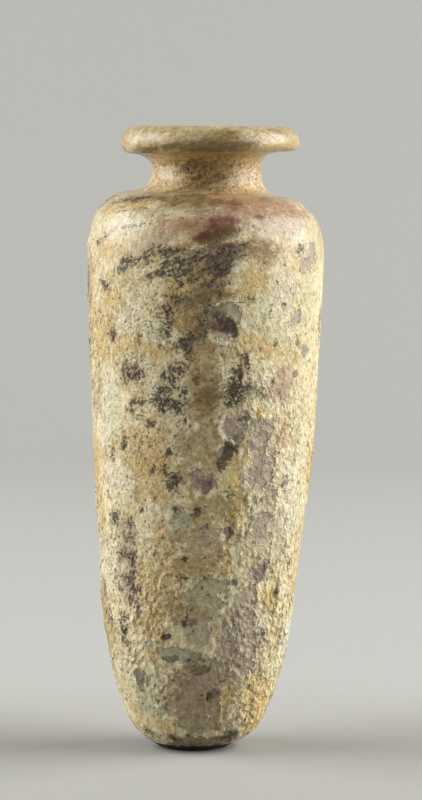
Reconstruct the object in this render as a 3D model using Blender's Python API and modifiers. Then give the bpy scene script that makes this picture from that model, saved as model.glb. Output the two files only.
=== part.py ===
# Roman glass unguentarium: a free-blown oil flask with a broad rolled lip, a short waisted neck, high round
# shoulders and a long body that tapers to a small flattened foot. It is hollow and open at the mouth.
# Metres, +Z up. The flask stands on z = 0, with the origin under the middle of its widest part.

import math

import bpy
from mathutils import Vector

MM = 0.001

# Driving sizes
HEIGHT = 120.0 * MM  # foot to the flat of the lip
LIP_RADIUS = 17.3 * MM
LIP_ROUND = 3.6 * MM  # rounding of the lip's upper edge
LIP_UNDER_OUT = 2.3 * MM  # how far in the lip's lower edge rounds
LIP_UNDER_DROP = 1.8 * MM  # and how far down
NECK_RADIUS = 10.7 * MM  # at the neck's waist
THROAT_DROP = 2.3 * MM  # underside of the lip down to the waist
NECK_WALL = 3.1 * MM
MOUTH_ROUND = 2.6 * MM  # rounding of the mouth's edge
SHOULDER_DROP = 17.1 * MM  # waist of the neck down to the widest part
BELLY_RADIUS = 22.8 * MM
BODY_WALL = 2.2 * MM
WALL_THINS_OVER = 8.5 * MM  # below the waist, where the wall comes down to the body's
FOOT_RADIUS = 6.4 * MM  # the flat that the flask stands on
FOOT_HOLLOW_RADIUS = 3.4 * MM  # slight hollow inside that flat
FOOT_HOLLOW_DEPTH = 0.5 * MM
FLOOR_THICKNESS = 4.2 * MM  # glass under the cavity, above the foot's hollow
CAVITY_BOWL = 8.0 * MM  # depth of the cavity's rounded end
FOOT_OFFSET = 2.5 * MM  # how far the foot's middle stands to the left of the belly's

# Outline of the free-blown body, as shares of the sizes above.
# Shoulder: out from the neck's waist to the belly, and down the shoulder's drop.
SHOULDER_LINE = (
    (0.010, 0.120),
    (0.037, 0.190),
    (0.100, 0.250),
    (0.215, 0.287),
    (0.410, 0.316),
    (0.580, 0.358),
    (0.735, 0.445),
    (0.878, 0.562),
    (0.977, 0.769),
    (1.000, 1.000),
)
# Taper: share of the belly's radius, and share of the belly's height above the foot.
TAPER_LINE = (
    (0.986, 0.900),
    (0.968, 0.800),
    (0.948, 0.680),
    (0.916, 0.560),
    (0.862, 0.430),
    (0.822, 0.315),
    (0.769, 0.215),
    (0.697, 0.135),
    (0.631, 0.090),
    (0.556, 0.052),
    (0.462, 0.026),
)

# The glass was shaped by hand, so the middle of each section drifts sideways as it rises, and the
# sections tip. Heights are shares of the full height, drifts of the foot's offset, and tips are slopes.
DRIFT = (
    (0.00, -1.00),
    (0.03, -0.76),
    (0.20, -0.66),
    (0.46, -0.26),
    (0.62, -0.12),
    (0.80, 0.00),
    (0.93, 0.06),
    (0.97, 0.36),
)
TIP = (
    (0.72, 0.0),
    (0.84, -0.03),
    (0.87, -0.04),
    (0.905, -0.04),
    (0.93, 0.0),
    (0.946, 0.045),
    (0.960, 0.0),
    (1.00, -0.010),
)

SECTION_SIDES = 48
ARC_STEPS = 5
SPAN_STEPS = 2
MERGE = 0.00001
SHARP_FROM = 40.0  # degrees between faces

# What follows from the driving sizes
LIP_EDGE_Z = HEIGHT - LIP_ROUND
LIP_UNDER_Z = LIP_EDGE_Z - LIP_UNDER_DROP
WAIST_Z = LIP_UNDER_Z - THROAT_DROP
BELLY_Z = WAIST_Z - SHOULDER_DROP
BORE_RADIUS = NECK_RADIUS - NECK_WALL
FLOOR_Z = FOOT_HOLLOW_DEPTH + FLOOR_THICKNESS


def ellipse_arc(centre, out, up, start, end):
    """Points on an ellipse about centre, from the start angle to the end angle in degrees."""
    points = []
    for step in range(ARC_STEPS + 1):
        angle = math.radians(start + (end - start) * step / ARC_STEPS)
        points.append(Vector((centre[0] + out * math.cos(angle), centre[1] + up * math.sin(angle))))
    return points


def smooth_line(stations):
    """A smooth curve through the stations, which keeps each of them (Catmull-Rom)."""
    stations = [Vector(s) for s in stations]
    ends = [2 * stations[0] - stations[1]] + stations + [2 * stations[-1] - stations[-2]]
    points = []
    for a, b, c, d in zip(ends, ends[1:], ends[2:], ends[3:]):
        for step in range(SPAN_STEPS):
            t = step / SPAN_STEPS
            points.append(
                0.5 * (2 * b + (c - a) * t + (2 * a - 5 * b + 4 * c - d) * t**2 + (3 * b - a - 3 * c + d) * t**3)
            )
    points.append(stations[-1])
    return points


def read_off(table, share):
    """The value of a table of (share, value) pairs at a share, eased from one pair to the next."""
    if share <= table[0][0]:
        return table[0][1]
    for (low, start), (high, end) in zip(table, table[1:]):
        if share <= high:
            t = (share - low) / (high - low)
            return start + (end - start) * t * t * (3 - 2 * t)
    return table[-1][1]


def body_outside():
    """Outside of the body from the neck's waist down to the edge of the foot."""
    stations = [(NECK_RADIUS, WAIST_Z)]
    for out, down in SHOULDER_LINE:
        stations.append((NECK_RADIUS + (BELLY_RADIUS - NECK_RADIUS) * out, WAIST_Z - SHOULDER_DROP * down))
    for width, height in TAPER_LINE:
        stations.append((BELLY_RADIUS * width, BELLY_Z * height))
    stations.append((FOOT_RADIUS, 0.0))
    return smooth_line(stations)


def body_inside(outside):
    """Wall of the cavity: the outside moved in by the wall, which thins from the neck to the shoulder."""
    inside = []
    for before, here, after in zip(outside, outside[1:], outside[2:]):
        along = (after - before).normalized()
        inward = Vector((along.y, -along.x))
        thinned = min(1.0, (WAIST_Z - here.y) / WALL_THINS_OVER)
        wall = NECK_WALL + (BODY_WALL - NECK_WALL) * thinned
        point = here + inward * wall
        if point.y < FLOOR_Z + CAVITY_BOWL:
            break
        inside.append(point)
    return inside[::2]


def flask_profile():
    """Half section from the cavity's floor up its wall, over the lip and down the outside to the foot."""
    outside = body_outside()
    inside = body_inside(outside)
    bowl_radius, bowl_z = inside[-1]
    bowl = ellipse_arc((0.0, bowl_z), bowl_radius, bowl_z - FLOOR_Z, -90, 0)
    bowl[0].x = 0.0
    mouth = ellipse_arc((BORE_RADIUS + MOUTH_ROUND, HEIGHT - MOUTH_ROUND), MOUTH_ROUND, MOUTH_ROUND, 180, 90)
    lip_top = ellipse_arc((LIP_RADIUS - LIP_ROUND, LIP_EDGE_Z), LIP_ROUND, LIP_ROUND, 90, 0)
    lip_under = ellipse_arc((LIP_RADIUS - LIP_UNDER_OUT, LIP_EDGE_Z), LIP_UNDER_OUT, LIP_UNDER_DROP, 0, -90)
    throat_out = LIP_RADIUS - LIP_UNDER_OUT - NECK_RADIUS
    throat = ellipse_arc((NECK_RADIUS + throat_out, WAIST_Z), throat_out, THROAT_DROP, 90, 180)
    foot = ellipse_arc((0.0, 0.0), FOOT_HOLLOW_RADIUS, FOOT_HOLLOW_DEPTH, 0, 90)
    foot[-1].x = 0.0
    return (
        bowl
        + inside[-2::-1]
        + [Vector((BORE_RADIUS, WAIST_Z))]
        + mouth
        + lip_top
        + lip_under[1:]
        + throat[1:]
        + outside[1:]
        + foot
    )


def turned(name, profile):
    """The profile turned about +Z with a Screw modifier, as a plain mesh object."""
    outline = bpy.data.meshes.new(name + "_outline")
    points = [(p.x, 0.0, p.y) for p in profile]
    outline.from_pydata(points, [(i, i + 1) for i in range(len(points) - 1)], [])
    guide = bpy.data.objects.new(name + "_outline", outline)
    bpy.context.scene.collection.objects.link(guide)
    screw = guide.modifiers.new("turn", "SCREW")
    screw.axis = "Z"
    screw.steps = screw.render_steps = SECTION_SIDES
    screw.use_merge_vertices = True
    screw.merge_threshold = MERGE
    graph = bpy.context.evaluated_depsgraph_get()
    mesh = bpy.data.meshes.new_from_object(guide.evaluated_get(graph))
    bpy.data.objects.remove(guide)
    mesh.name = name
    return bpy.data.objects.new(name, mesh)


def shape_by_hand(obj):
    """Drifts and tips each section of a turned shape, then centres it over the origin."""
    for vertex in obj.data.vertices:
        share = vertex.co.z / HEIGHT
        vertex.co.z += vertex.co.x * read_off(TIP, share)
        vertex.co.x += FOOT_OFFSET * read_off(DRIFT, share)
    across = [vertex.co.x for vertex in obj.data.vertices]
    middle = (min(across) + max(across)) / 2
    for vertex in obj.data.vertices:
        vertex.co.x -= middle


def weathered_glass():
    """Buried glass under its cream weathering crust, which hides the glass's own colour."""
    material = bpy.data.materials.new("weathered_glass")
    material.use_nodes = True
    shader = material.node_tree.nodes["Principled BSDF"]
    shader.inputs["Base Color"].default_value = (0.56, 0.47, 0.30, 1.0)
    shader.inputs["Roughness"].default_value = 0.6
    shader.inputs["Metallic"].default_value = 0.0
    material.diffuse_color = (0.56, 0.47, 0.30, 1.0)
    return material


def main():
    for obj in list(bpy.data.objects):
        bpy.data.objects.remove(obj)
    collection = bpy.data.collections.new("Unguentarium")
    bpy.context.scene.collection.children.link(collection)
    flask = turned("unguentarium", flask_profile())
    shape_by_hand(flask)
    flask.data.shade_smooth()
    flask.data.set_sharp_from_angle(angle=math.radians(SHARP_FROM))
    flask.data.materials.clear()
    flask.data.materials.append(weathered_glass())
    collection.objects.link(flask)


main()
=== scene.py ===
import math
import random

import bpy
import numpy as np
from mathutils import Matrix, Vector, noise as smoothNoise


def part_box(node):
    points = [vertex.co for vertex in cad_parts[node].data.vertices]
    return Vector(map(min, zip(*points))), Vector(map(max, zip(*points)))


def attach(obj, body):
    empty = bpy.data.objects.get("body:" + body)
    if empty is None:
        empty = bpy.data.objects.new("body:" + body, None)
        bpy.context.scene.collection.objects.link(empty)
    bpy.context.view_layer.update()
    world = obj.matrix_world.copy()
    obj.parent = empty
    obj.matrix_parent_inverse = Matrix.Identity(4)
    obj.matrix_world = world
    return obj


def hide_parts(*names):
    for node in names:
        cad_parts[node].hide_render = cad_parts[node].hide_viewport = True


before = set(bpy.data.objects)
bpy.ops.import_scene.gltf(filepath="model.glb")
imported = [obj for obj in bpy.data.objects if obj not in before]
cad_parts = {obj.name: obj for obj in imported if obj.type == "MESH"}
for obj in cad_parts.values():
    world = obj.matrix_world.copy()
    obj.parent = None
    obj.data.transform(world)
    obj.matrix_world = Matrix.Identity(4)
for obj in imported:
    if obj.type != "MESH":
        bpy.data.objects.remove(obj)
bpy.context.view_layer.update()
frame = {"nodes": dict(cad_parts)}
mm = 0.001
print("frame loaded:", ", ".join(frame["nodes"]))


# The flask's form, in mm. The solid has the same.
flask = dict(
    height=120.0, lipRadius=17.3, lipRound=3.6, lipUnderOut=2.3, lipUnderDrop=1.8,
    neckRadius=10.7, throatDrop=2.3, neckWall=3.1, mouthRound=2.6,
    shoulderDrop=17.1, bellyRadius=22.8, bodyWall=2.2, wallThinsOver=8.5,
    footRadius=6.4, footHollowRadius=3.4, footHollowDepth=0.5, floorThickness=4.2, cavityBowl=8.0,
    footOffset=2.5,
    rowGap=0.5,  # mesh rows up the outside
    columns=312,  # round the outside, a multiple of insideStep
    insideStep=4,  # one inside column to so many outside ones
    insideGap=2.6,
    frontHalf=100.0,  # degrees each way that get the finer columns
    backDensity=0.55,
)

shoulderLine = (  # shares out from the neck to the belly, and down the shoulder's drop
    (0.010, 0.120), (0.037, 0.190), (0.100, 0.250), (0.215, 0.287), (0.410, 0.316),
    (0.580, 0.358), (0.735, 0.445), (0.878, 0.562), (0.977, 0.769), (1.000, 1.000),
)
taperLine = (  # shares of the belly's radius and of its height
    (0.986, 0.900), (0.968, 0.800), (0.948, 0.680), (0.916, 0.560), (0.862, 0.430), (0.822, 0.315),
    (0.769, 0.215), (0.697, 0.135), (0.631, 0.090), (0.556, 0.052), (0.462, 0.026),
)
driftLine = (  # share of the height, share of the foot's offset
    (0.00, -1.00), (0.03, -0.76), (0.20, -0.66), (0.46, -0.26), (0.62, -0.12), (0.80, 0.00),
    (0.93, 0.06), (0.97, 0.36),
)
tipLine = (  # share of the height, slope of the section there
    (0.72, 0.0), (0.84, -0.03), (0.87, -0.04), (0.905, -0.04), (0.93, 0.0), (0.946, 0.045),
    (0.960, 0.0), (1.00, -0.010),
)


def readOff(table, share):
    # value of a table at each share, eased from one pair to the next
    share = np.asarray(share, float)
    value = np.full(share.shape, float(table[0][1]))
    for (low, start), (high, end) in zip(table, table[1:]):
        t = np.clip((share - low) / (high - low), 0, 1)
        value = np.where(share > low, start + (end - start) * t * t * (3 - 2 * t), value)
    return value


def smoothLine(stations, steps=12):
    stations = [np.array(s, float) for s in stations]
    ends = [2 * stations[0] - stations[1]] + stations + [2 * stations[-1] - stations[-2]]
    points = []
    for a, b, c, d in zip(ends, ends[1:], ends[2:], ends[3:]):
        for step in range(steps):
            t = step / steps
            curve = 2 * b + (c - a) * t + (2 * a - 5 * b + 4 * c - d) * t**2 + (3 * b - a - 3 * c + d) * t**3
            points.append(0.5 * curve)
    points.append(stations[-1])
    return points


def arc(centre, out, up, start, end, steps=24):
    angles = np.radians(np.linspace(start, end, steps + 1))
    return [np.array((centre[0] + out * math.cos(a), centre[1] + up * math.sin(a))) for a in angles]


def spaced(points, gap):
    # the same line with its points a steady gap apart
    points = np.array(points)
    along = np.concatenate([[0], np.cumsum(np.hypot(*np.diff(points, axis=0).T))])
    steps = max(2, int(round(along[-1] / gap)))
    wanted = np.linspace(0, along[-1], steps + 1)
    return np.column_stack([np.interp(wanted, along, points[:, 0]), np.interp(wanted, along, points[:, 1])])


def flaskLines(f):
    # the outside from the foot's edge up over the lip into the mouth, and the inside down to the floor
    edge = f["height"] - f["lipRound"]
    under = edge - f["lipUnderDrop"]
    waist = under - f["throatDrop"]
    belly = waist - f["shoulderDrop"]
    stations = [(f["neckRadius"], waist)]
    wider = f["bellyRadius"] - f["neckRadius"]
    for out, down in shoulderLine:
        stations.append((f["neckRadius"] + wider * out, waist - f["shoulderDrop"] * down))
    stations += [(f["bellyRadius"] * wide, belly * high) for wide, high in taperLine]
    stations.append((f["footRadius"], 0.0))
    body = smoothLine(stations)
    throatOut = f["lipRadius"] - f["lipUnderOut"] - f["neckRadius"]
    throat = arc((f["neckRadius"] + throatOut, waist), throatOut, f["throatDrop"], 180, 90)
    lipUnder = arc((f["lipRadius"] - f["lipUnderOut"], edge), f["lipUnderOut"], f["lipUnderDrop"], -90, 0)
    lipTop = arc((f["lipRadius"] - f["lipRound"], edge), f["lipRound"], f["lipRound"], 0, 90)
    bore = f["neckRadius"] - f["neckWall"]
    turn = f["mouthRound"]
    mouth = arc((bore + turn, f["height"] - turn), turn, turn, 90, 180)
    outside = body[::-1] + throat[1:] + lipUnder[1:] + lipTop[1:] + mouth

    inside = [mouth[-1], np.array((bore, waist))]
    floorZ = f["footHollowDepth"] + f["floorThickness"]
    for before, here, after in zip(body, body[1:], body[2:]):
        along = (after - before) / np.linalg.norm(after - before)
        thinned = min(1.0, (waist - here[1]) / f["wallThinsOver"])
        wall = f["neckWall"] + (f["bodyWall"] - f["neckWall"]) * thinned
        point = here + np.array((along[1], -along[0])) * wall
        if point[1] < floorZ + f["cavityBowl"]:
            break
        inside.append(point)
    bowlRadius, bowlZ = inside[-1]
    inside += arc((0.0, bowlZ), bowlRadius, bowlZ - floorZ, 0, -90)[1:]
    hollow = arc((0.0, 0.0), f["footHollowRadius"], f["footHollowDepth"], 0, 90, 4)
    return spaced(outside, f["rowGap"]), spaced(inside, f["insideGap"]), hollow


def columnTurns(f):
    # angles round the flask, 0 facing the viewer, closer together in front
    fine = np.linspace(-180, 180, 7201)
    t = np.clip((np.abs(fine) - f["frontHalf"]) / 35.0, 0, 1)
    density = 1 + (f["backDensity"] - 1) * t * t * (3 - 2 * t)
    total = np.concatenate([[0], np.cumsum((density[1:] + density[:-1]) / 2)])
    return np.interp(np.arange(f["columns"]) / f["columns"] * total[-1], total, fine)


def turnedMesh(f):
    outside, inside, hollow = flaskLines(f)
    turns = columnTurns(f)
    count, step = f["columns"], f["insideStep"]
    coarse = turns[::step]
    points, turnOf, climbOf, insideOf, faces = [], [], [], [], []
    climb = np.concatenate([[0], np.cumsum(np.hypot(*np.diff(outside, axis=0).T))])

    def ring(radius, height, angles, rise, within):
        first = len(turnOf)
        a = np.radians(angles)
        points.extend(zip(radius * np.sin(a), -radius * np.cos(a), np.full(len(a), height)))
        turnOf.extend(angles)
        climbOf.extend([rise] * len(a))
        insideOf.extend([within] * len(a))
        return first

    def join(low, high, number):
        for i in range(number):
            j = (i + 1) % number
            faces.append((low + i, low + j, high + j, high + i))

    def fan(fineRing, coarseRing, up):
        # joins a fine ring to one with fewer columns
        for i in range(count // step):
            j = (i + 1) % (count // step)
            near = [fineRing + (i * step + k) % count for k in range(step + 1)]
            middle = step // 2
            made = [(near[k], near[k + 1], coarseRing + i) for k in range(middle)]
            made.append((near[middle], coarseRing + j, coarseRing + i))
            made += [(near[k], near[k + 1], coarseRing + j) for k in range(middle, step)]
            faces.extend(made if up else [m[::-1] for m in made])

    def pole(ringFirst, number, height, up, rise, within):
        tip = len(turnOf)
        points.append((0.0, 0.0, height))
        turnOf.append(0.0)
        climbOf.append(rise)
        insideOf.append(within)
        for i in range(number):
            j = (i + 1) % number
            faces.append((ringFirst + i, ringFirst + j, tip) if up else (ringFirst + j, ringFirst + i, tip))

    rings = [ring(r, z, turns, c, 0.0) for (r, z), c in zip(outside, climb)]
    for low, high in zip(rings, rings[1:]):
        join(low, high, count)
    wall = [ring(r, z, coarse, climb[-1], 1.0) for r, z in inside[1:-1]]
    fan(rings[-1], wall[0], True)
    for low, high in zip(wall, wall[1:]):
        join(low, high, len(coarse))
    pole(wall[-1], len(coarse), inside[-1][1], True, climb[-1], 1.0)
    footMiddle = (0.5 * (f["footRadius"] + f["footHollowRadius"]), 0.0)
    under = [ring(r, z, coarse, 0.0, 0.0) for r, z in [footMiddle] + [tuple(p) for p in hollow[:-1]]]
    fan(rings[0], under[0], False)
    for low, high in zip(under, under[1:]):
        join(high, low, len(coarse))
    pole(under[-1], len(coarse), hollow[-1][1], False, 0.0, 0.0)
    return np.array(points), faces, np.array(turnOf), np.array(climbOf), np.array(insideOf)


def shapeByHand(points, f):
    share = points[:, 2] / f["height"]
    points[:, 2] += points[:, 0] * readOff(tipLine, share)
    points[:, 0] += f["footOffset"] * readOff(driftLine, share)
    return points


points, faces, turnOf, climbOf, insideOf = turnedMesh(flask)
radiusOf = np.hypot(points[:, 0], points[:, 1])
points = shapeByHand(points, flask)
print("flask turned:", len(points), "points")


# Where each finish lies. Each mark is (turn from the front in degrees, climb up the outside from the
# foot's edge in mm, half width, half height, and for some a lean in degrees, rising to the right).
marks = dict(
    flaked=(
        (9, 87.6, 2.9, 3.5, 20), (15, 88.4, 1.8, 2.1), (1, 57.5, 2.4, 1.7, -30), (-2, 59.0, 1.5, 0.9, -10),
        (25, 74.0, 1.8, 1.6), (16, 67.9, 2.6, 2.0, 20), (21, 69.6, 1.3, 0.7), (31, 66.8, 2.2, 1.9, -20),
        (30, 63.6, 2.0, 2.3), (33, 60.1, 3.2, 2.1, 20), (32, 57.5, 3.0, 1.9), (38, 55.2, 1.7, 1.6),
        (36, 50.0, 2.6, 1.3), (33, 47.7, 2.0, 1.5, 20), (40, 46.5, 2.1, 1.1), (37, 40.1, 2.8, 1.2, 35),
        (36, 39.0, 2.0, 1.2), (53, 43.2, 1.7, 0.3, 45), (49, 57.1, 0.7, 0.8), (29, 34.7, 2.5, 2.6, 10),
        (26, 30.0, 3.4, 3.3), (24, 25.0, 4.1, 3.3), (35, 26.7, 3.3, 2.7), (13, 20.8, 3.1, 2.3),
        (33, 21.3, 2.5, 1.7), (4, 34.1, 3.2, 4.1), (0, 28.8, 2.6, 2.4), (8, 37.3, 2.7, 1.9),
        (-13, 24.2, 3.7, 1.6), (-3, 23.6, 1.5, 1.4), (4, 19.0, 2.5, 1.9), (11, 15.1, 1.3, 2.6),
        (-42, 18.6, 1.0, 2.1, 8), (59, 98.5, 2.6, 1.0, 20), (64, 101.2, 1.0, 1.8, -8), (50, 87.8, 1.4, 1.0),
        (52, 89.0, 0.6, 0.7), (13, 12.6, 1.3, 1.5),
    ),
    pitted=(
        (17, 75.9, 1.9, 4.2), (-14, 78.3, 3.8, 1.6, 28), (-17, 75.1, 3.1, 1.6, 20), (-10, 74.4, 2.1, 1.8),
        (-38, 76.9, 2.6, 1.4), (-18, 72.6, 3.1, 1.5), (-37, 98.7, 4.2, 1.0, 8), (-26, 100.2, 3.6, 1.1, 12),
        (-58, 94.4, 2.0, 1.3), (-27, 95.9, 2.8, 0.8, 14), (-14, 100.5, 3.4, 1.1, 14),
        (-31, 98.2, 2.3, 0.9, 12), (-46, 96.9, 2.1, 1.0, 8), (-13, 96.9, 3.4, 1.2, 16),
        (-5, 95.9, 2.6, 1.1, 16), (-19, 98.0, 1.6, 0.9, 20), (9, 99.6, 4.0, 1.9, 24), (3, 97.4, 3.6, 1.7, 22),
        (16, 101.8, 2.4, 1.0, 24), (-9, 99.0, 4.0, 1.7, 20), (-3, 99.0, 2.7, 1.3, 22),
        (0, 94.7, 2.3, 1.1, 20), (-8, 92.4, 1.6, 1.0, 30), (-18, 89.6, 1.4, 1.7), (0, 88.4, 1.0, 2.3),
        (-7, 84.4, 2.3, 1.4, 24), (-9, 95.0, 2.0, 1.1, 16), (7, 94.7, 1.8, 0.5, 10), (5, 93.1, 0.8, 1.0, 30),
        (2, 91.1, 0.8, 1.3), (-18, 87.0, 1.0, 3.2), (-14, 91.8, 2.0, 1.0, 30), (-7, 84.1, 3.3, 1.0, 24),
        (-8, 82.0, 1.2, 0.9), (1, 86.1, 0.8, 1.7), (-40, 77.6, 2.3, 1.4), (-13, 77.3, 2.3, 1.2, 28),
        (-17, 75.5, 1.1, 1.1), (-4, 76.9, 1.1, 0.9), (-14, 71.8, 1.3, 1.3), (-21, 72.2, 0.8, 1.8),
        (-35, 72.2, 2.2, 1.1), (-40, 70.4, 1.8, 0.7), (-34, 69.3, 1.3, 0.7), (20, 81.0, 1.2, 1.0),
        (22, 78.7, 0.8, 1.2), (18, 76.6, 1.5, 1.9), (15, 74.0, 1.7, 1.8), (13, 72.2, 0.9, 0.9),
        (-44, 64.0, 0.7, 1.4, -20), (-54, 61.8, 1.1, 1.9, -10), (-26, 59.7, 0.6, 1.1), (-17, 62.9, 0.9, 0.7),
        (-13, 57.1, 1.8, 2.3), (-19, 59.7, 0.6, 0.9), (13, 62.9, 1.9, 2.3), (10, 60.4, 1.3, 1.7),
        (17, 64.0, 0.9, 1.1), (-3, 51.6, 0.9, 1.2), (-13, 52.4, 1.2, 1.2), (-43, 47.3, 1.8, 2.1),
        (-48, 43.2, 1.9, 1.9), (-41, 41.8, 1.0, 2.5), (-44, 38.7, 1.9, 1.2), (-54, 50.0, 1.1, 1.4),
        (-38, 36.3, 1.7, 0.8), (-44, 34.4, 0.8, 1.5), (-40, 33.4, 1.0, 1.0), (-50, 29.4, 1.0, 2.8),
        (-51, 25.8, 1.5, 1.1), (-73, 35.0, 1.5, 2.3), (-68, 29.7, 2.4, 2.4), (-9, 39.0, 1.0, 1.2),
        (-8, 42.5, 0.7, 0.4, 10), (-19, 27.6, 1.1, 0.7), (-7, 30.6, 0.5, 1.3, -20), (-3, 23.1, 1.4, 0.3, 5),
        (-51, 85.0, 1.2, 1.4), (9, 15.6, 0.7, 1.4, -10), (-61, 102.2, 3.2, 1.1, 20),
        (-54, 110.9, 6.6, 0.6, 14), (-22, 111.8, 2.1, 0.5, 10), (-47, 6.7, 1.3, 0.9),
        (-23, 5.6, 1.3, 1.1, -20), (33, 5.7, 2.4, 1.7, 14), (-27, 68.2, 1.1, 0.9), (-20, 122.3, 0.7, 0.4),
        (26, 122.7, 1.0, 0.3, 10), (30, 99.0, 1.0, 0.5), (53, 101.3, 2.0, 1.7), (40, 98.2, 0.8, 0.5),
        (22, 91.8, 1.2, 0.3, -4), (52, 34.1, 1.0, 3.7), (63, 25.8, 1.4, 2.5),
    ),
    spots=(
        (15, 74.8, 1.0, 1.5), (18, 77.6, 0.6, 1.2), (21, 80.4, 0.6, 1.0), (8, 87.8, 1.1, 0.9, -10),
        (5, 88.7, 0.6, 0.4), (10, 86.7, 1.2, 1.0), (13, 63.3, 1.1, 1.9), (10, 60.8, 1.1, 1.1),
        (18, 64.0, 0.4, 0.5), (45, 134.9, 0.3, 0.4), (4, 57.1, 0.4, 0.4), (16, 54.8, 0.5, 0.4),
        (16, 47.7, 0.3, 0.8, 8), (21, 69.3, 1.1, 0.4, 4), (2, 37.0, 0.3, 0.3), (21, 38.0, 0.7, 0.7),
        (-19, 27.6, 1.1, 0.6), (-29, 14.4, 0.7, 0.3, -10), (43, 9.9, 0.7, 0.3, 20), (-34, 51.6, 0.5, 0.4),
        (-20, 60.4, 0.4, 0.4), (-13, 70.4, 0.3, 0.4), (-9, 69.3, 0.3, 0.4), (10, 87.8, 1.3, 0.7, -15),
        (13, 86.4, 1.3, 1.0), (15, 85.2, 0.8, 0.7), (7, 89.3, 0.6, 0.4, 20), (-14, 66.1, 0.4, 0.3),
        (78, 56.0, 0.9, 0.3), (-8, 42.5, 0.7, 0.4, 10), (-52, 36.3, 0.5, 0.7),
    ),
    tan=(
        (-41, 130.7, 5.5, 1.0), (-27, 129.8, 4.7, 2.2), (37, 120.2, 2.4, 2.5), (69, 131.1, 3.0, 1.1),
        (-27, 59.7, 3.9, 5.5), (-17, 39.7, 3.1, 4.8), (-27, 82.3, 2.7, 1.8), (-52, 91.4, 3.0, 2.2),
        (-52, 100.5, 4.6, 1.9), (-44, 83.2, 3.6, 2.1), (-62, 85.5, 3.4, 4.6), (-33, 65.7, 5.5, 1.6),
        (-30, 61.5, 4.3, 1.8), (-27, 56.0, 3.4, 2.7), (-22, 47.3, 2.4, 3.5), (-35, 39.4, 3.1, 2.4),
        (-22, 34.7, 4.8, 4.2), (-29, 30.9, 3.9, 2.5), (30, 101.2, 3.7, 2.5), (27, 100.9, 2.4, 1.6),
        (29, 83.2, 2.3, 2.0), (34, 82.0, 2.3, 1.5), (60, 130.8, 4.2, 0.8), (3, 123.8, 8.8, 1.6),
        (-23, 123.2, 3.2, 1.5), (58, 123.4, 2.0, 1.9), (-53, 108.9, 7.1, 1.5, 14), (-9, 101.8, 2.0, 0.6, 20),
        (18, 74.8, 1.1, 0.7), (30, 70.7, 1.8, 1.3), (-9, 87.0, 3.1, 2.4), (0, 74.8, 2.2, 4.7),
        (14, 42.5, 1.6, 2.1), (47, 14.4, 3.7, 3.2), (77, 9.4, 3.7, 2.2), (-27, 23.9, 1.8, 1.2),
        (41, 14.4, 2.7, 2.5), (43, 110.6, 5.5, 1.1, -6), (-16, 91.8, 2.4, 1.9), (-75, 52.4, 3.7, 6.0),
        (9, 91.8, 2.0, 1.7),
    ),
    olive=(
        (0, 74.0, 3.5, 8.8), (-2, 81.6, 3.9, 2.9), (1, 65.4, 4.9, 5.4), (-1, 59.7, 3.7, 3.4),
        (-4, 130.6, 9.4, 1.4), (-4, 112.0, 8.4, 3.1), (-7, 88.1, 3.9, 3.5), (2, 50.4, 5.3, 5.2),
        (-2, 42.5, 4.7, 5.0), (6, 15.3, 6.1, 6.9), (3, 91.8, 3.1, 2.6), (-2, 97.4, 5.0, 3.0),
        (0, 102.6, 3.3, 1.7), (-4, 33.1, 3.8, 4.5), (3, 122.0, 5.2, 3.2), (4, 83.5, 2.3, 1.8),
    ),
    # painted highlights: the marks at climb 132-133 on the lip, 119-122 on the neck and 105.6-105.7 on the
    # shoulders stand where the lamps catch the satin glass; the other marks are chalky crust
    chalkAndHighlight=(
        (75, 41.1, 3.5, 9.0), (56, 53.2, 3.2, 11.1), (-38, 87.3, 3.2, 1.9), (-32, 89.6, 0.6, 0.6),
        (-26, 85.5, 2.0, 1.9), (-31, 80.4, 1.6, 1.1), (-24, 74.8, 1.6, 1.6), (-56, 72.2, 2.8, 4.4),
        (-7, 74.4, 1.5, 1.5), (38, 91.4, 3.7, 2.6), (44, 93.4, 3.7, 2.6), (-54, 57.1, 3.6, 3.8),
        (-68, 41.1, 3.9, 5.3), (-42, 84.1, 2.1, 1.2), (47, 122.0, 1.1, 1.2), (34, 119.0, 1.4, 0.7),
        (-20, 108.9, 1.9, 1.0), (-43, 105.6, 4.0, 1.8), (50, 105.7, 3.4, 2.0), (-37, 90.2, 1.8, 1.4),
        (-60, 66.4, 2.4, 3.5), (-45, 132.5, 2.7, 0.7), (56, 133.1, 4.8, 1.1), (22, 132.4, 1.6, 0.6),
    ),
    mint=(
        (-33, 16.9, 4.6, 5.0), (-28, 11.6, 3.2, 2.3), (69, 103.2, 3.7, 3.6), (61, 99.2, 2.6, 3.0),
        (36, 86.1, 3.6, 2.7), (28, 89.9, 2.4, 1.7), (-22, 86.1, 1.9, 2.3), (-51, 131.7, 1.4, 1.0),
        (17, 42.5, 1.7, 2.1), (61, 91.1, 3.4, 5.5), (25, 34.7, 3.5, 2.7), (12, 54.0, 2.5, 2.8),
        (-11, 49.3, 2.8, 3.2), (57, 68.6, 3.0, 3.6), (-50, 68.6, 2.5, 4.2),
    ),
    yellow=(
        (-41, 130.5, 4.3, 0.9), (-19, 124.8, 4.9, 2.7), (22, 124.9, 4.1, 3.1), (-12, 93.7, 2.8, 2.7),
        (-9, 87.0, 2.3, 2.4), (18, 57.5, 1.6, 4.1), (19, 62.6, 1.5, 2.5), (22, 94.7, 2.0, 3.0),
        (20, 52.0, 1.9, 3.2), (16, 41.5, 1.2, 2.3), (20, 84.4, 1.9, 1.0), (30, 70.0, 1.8, 1.4),
        (-24, 27.6, 0.8, 0.9), (23, 13.6, 1.6, 2.4, 10), (66, 10.2, 5.0, 3.7), (83, 13.9, 0.3, 1.7),
        (47, 34.4, 2.4, 2.6), (45, 16.5, 3.0, 3.5), (-82, 32.8, 1.9, 6.3), (21, 65.4, 1.1, 1.4),
        (5, 83.2, 1.3, 1.1),
    ),
    lilac=(
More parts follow.
